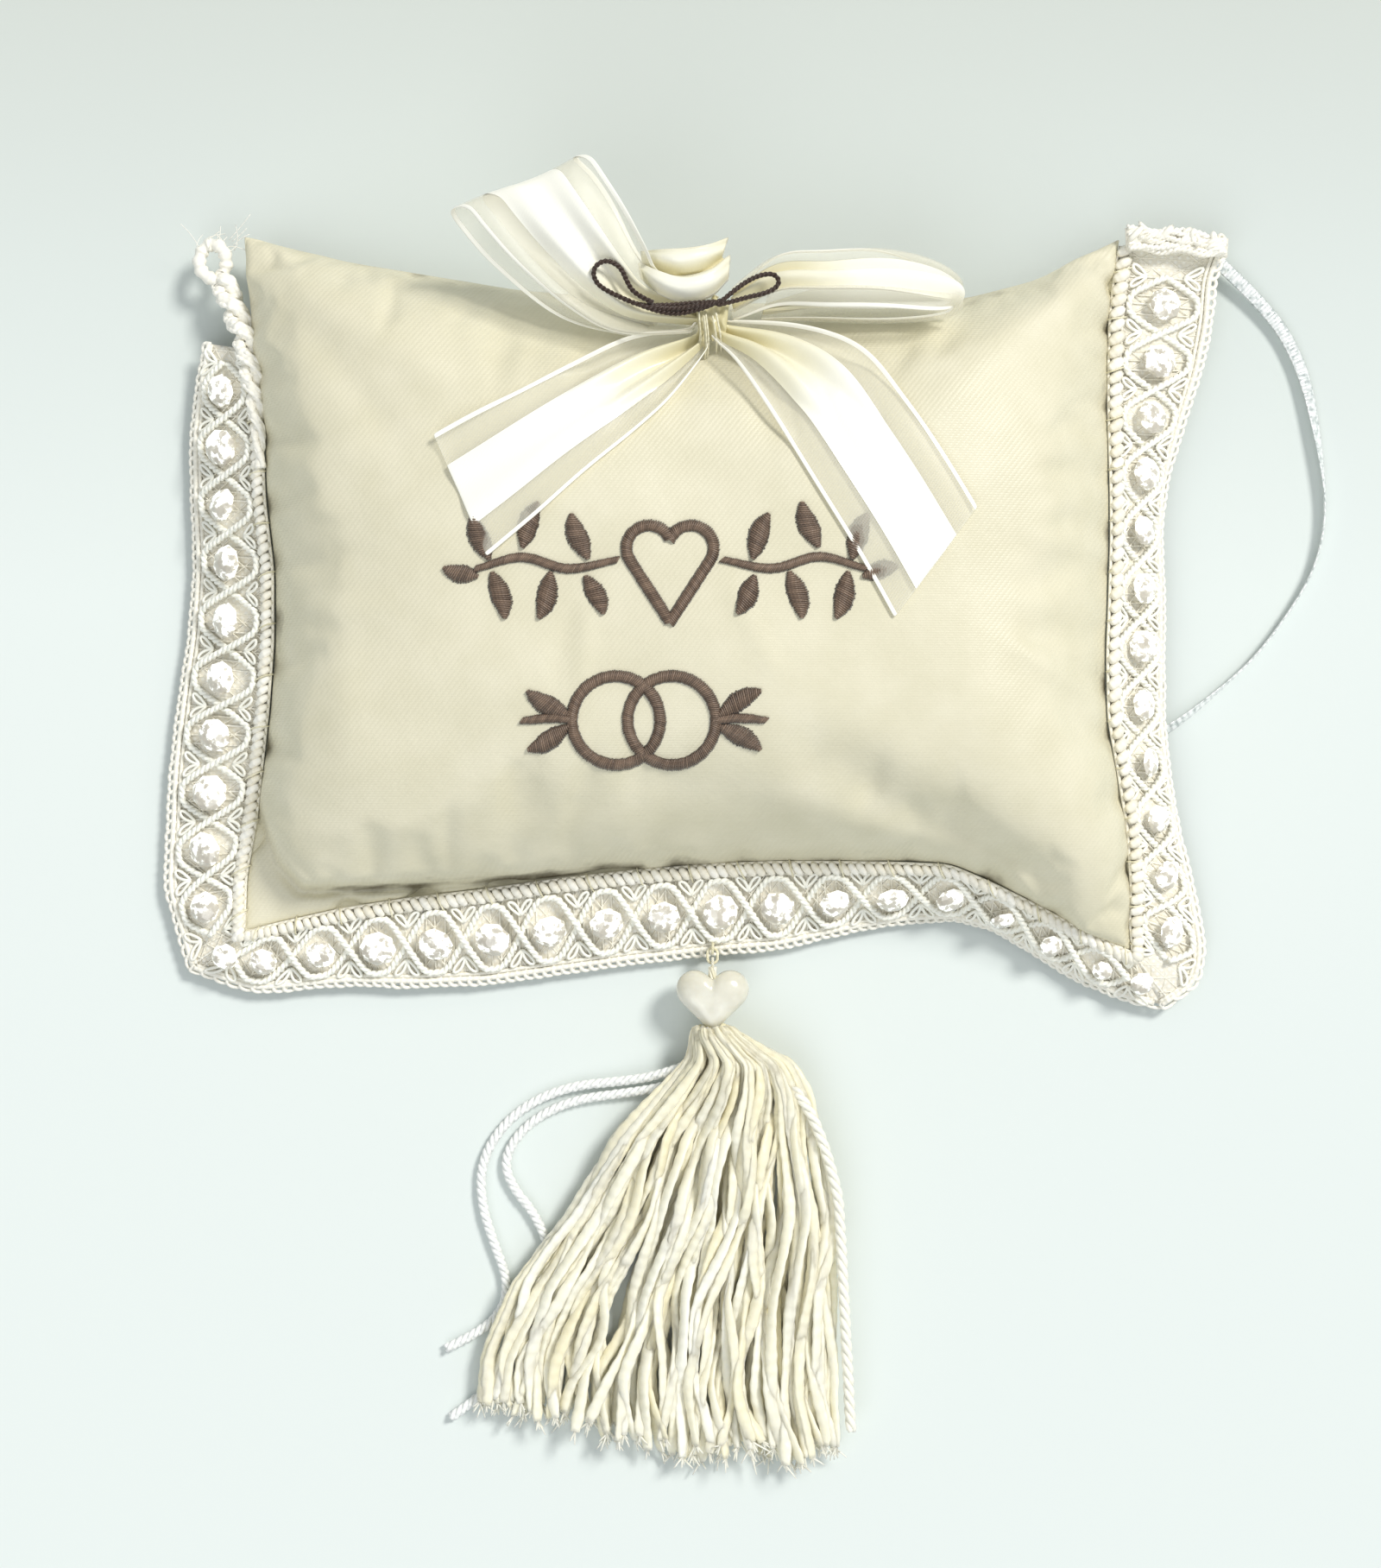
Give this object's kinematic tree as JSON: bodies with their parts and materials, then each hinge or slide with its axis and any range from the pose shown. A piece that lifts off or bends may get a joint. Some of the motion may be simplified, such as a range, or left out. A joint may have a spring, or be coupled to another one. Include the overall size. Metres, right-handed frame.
{
  "type": "ring bearer pillow",
  "caption": "Satin ring pillow edged with beaded braid, with ribbon bow, ring cord, embroidery, hanging ribbon and heart-bead tassel",
  "frame": {"origin": "middle of the flat patch on the cushion's back that it rests on", "axes": "+X to the cushion's right, +Y to its top edge, +Z out of its embroidered front"},
  "size_m": [0.2132, 0.2287, 0.04],
  "materials": {
    "ivory_satin": "soft satin sheen",
    "fibre_fill": "matt fibre",
    "braid_mesh": "matt net",
    "braid_gimp": "twisted thread",
    "braid_cord": "smooth cord",
    "crystal": "clear, faceted",
    "sewing_thread": "fine thread",
    "brown_thread": "satin stitch",
    "bow_ribbon": "satin stripe between sheer borders",
    "brown_cord": "twisted cord",
    "white_tape": "shiny woven tape",
    "pearl": "pearlised",
    "tassel_yarn": "smooth rayon yarn",
    "white_cord": "chainette"
  },
  "bodies": {
    "pillow": {"front_cover": "ivory_satin", "back_cover": "ivory_satin", "stuffing": "fibre_fill", "left_braid_ground": "braid_mesh", "left_braid_gimp": "braid_gimp", "left_braid_picots": "braid_cord", "left_braid_lattice": "braid_cord", "left_braid_crystals": "crystal", "bottom_braid_ground": "braid_mesh", "bottom_braid_gimp": "braid_gimp", "bottom_braid_picots": "braid_cord", "bottom_braid_lattice": "braid_cord", "bottom_braid_crystals": "crystal", "right_braid_ground": "braid_mesh", "right_braid_gimp": "braid_gimp", "right_braid_picots": "braid_cord", "right_braid_lattice": "braid_cord", "right_braid_crystals": "crystal", "trim_stitches": "sewing_thread", "left_braid_twisted_end": "braid_cord", "right_braid_folded_end": "braid_mesh", "embroidery_upper_row": "brown_thread", "embroidery_lower_row": "brown_thread", "bow_left_loop": "bow_ribbon", "bow_right_loop": "bow_ribbon", "bow_left_tail": "bow_ribbon", "bow_right_tail": "bow_ribbon", "bow_centre_wrap": "bow_ribbon", "bow_tack_thread": "sewing_thread", "ring_cord_left_loop": "brown_cord", "ring_cord_wrap": "brown_cord", "ring_cord_right_loop": "brown_cord", "hanger_ribbon": "white_tape", "hanger_tack_right": "sewing_thread", "hanger_tack_left": "sewing_thread", "tassel_eyelet": "sewing_thread"},
    "tassel_loop": {"tassel_thread_loop": "sewing_thread"},
    "tassel": {"tassel_stem": "tassel_yarn", "tassel_neck_wrap": "tassel_yarn", "tassel_skirt": "tassel_yarn", "tassel_outer_cord": "white_cord", "tassel_inner_cord": "white_cord"},
    "bead": {"heart_bead": "pearl"}
  },
  "joints": [
    {"name": "tassel_lift", "type": "hinge", "parent": "pillow", "child": "tassel_loop", "pos_m": [0.004, -0.0637, 0.0059], "axis": [-1, 0, 0], "range_deg": [0, 90]},
    {"name": "tassel_swing", "type": "hinge", "parent": "tassel_loop", "child": "tassel", "pos_m": [0.004, -0.0655, 0.0059], "axis": [0, 0, 1], "range_deg": [-25, 25]},
    {"name": "bead_spin", "type": "hinge", "parent": "tassel", "child": "bead", "pos_m": [0.004, -0.071, 0.0069], "axis": [0, -1, 0], "continuous": true}
  ]
}
